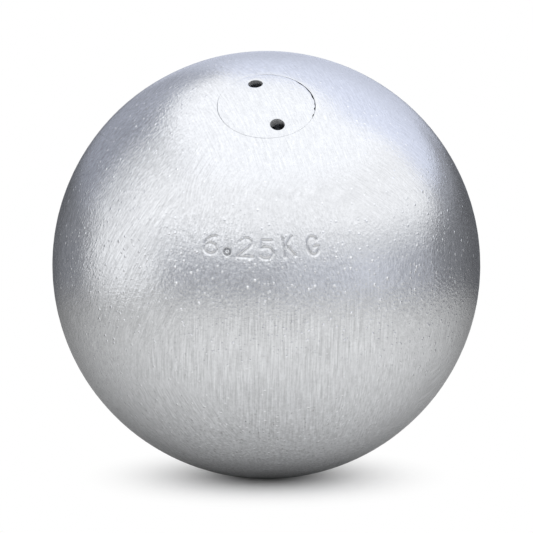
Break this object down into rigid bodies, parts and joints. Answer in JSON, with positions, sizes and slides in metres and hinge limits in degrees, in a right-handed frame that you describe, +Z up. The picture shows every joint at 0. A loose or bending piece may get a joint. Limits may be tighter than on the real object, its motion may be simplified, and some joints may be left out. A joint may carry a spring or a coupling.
{
  "type": "shot put",
  "caption": "Turned cast iron shot put in brushed silver paint, with lead ballast held in its bore by a flush screw plug that takes a pin spanner.",
  "frame": {"origin": "the centre of the ball", "axes": "+Z up as the ball lies on a floor, -Y towards the viewer, +X to the viewer's right; the plug's axis runs out from the origin along (0, -0.6046, 0.7965), 37.2 degrees from straight up towards the viewer"},
  "size_m": [0.118, 0.118, 0.118],
  "materials": {
    "ball_paint": "satin silver paint brushed over turned cast iron",
    "plug_paint": "satin silver paint brushed over the plug's turned face",
    "copper": "soft annealed copper",
    "rubber": "matt black sheet rubber",
    "lead": "dull grey cast lead"
  },
  "bodies": {
    "ball": {"ball_body": "ball_paint", "lead_slug": "lead", "trim_disc_1": "lead", "trim_disc_2": "lead", "trim_disc_3": "lead", "packing_pad": "rubber"},
    "washer": {"sealing_washer": "copper"},
    "plug": {"screw_plug": "plug_paint"}
  },
  "joints": [
    {"name": "plug_rise", "type": "slide", "parent": "ball", "child": "washer", "axis": [0, -0.6046, 0.7965], "range_m": [0, 0.0126]},
    {"name": "plug_turn", "type": "hinge", "parent": "washer", "child": "plug", "pos_m": [0, 0, 0], "axis": [0, -0.6046, 0.7965], "range_deg": [0, 2268]}
  ],
  "couplings": [
    {"joint": "plug_turn", "follows": "plug_rise", "rad_per_m": 3141.6}
  ]
}
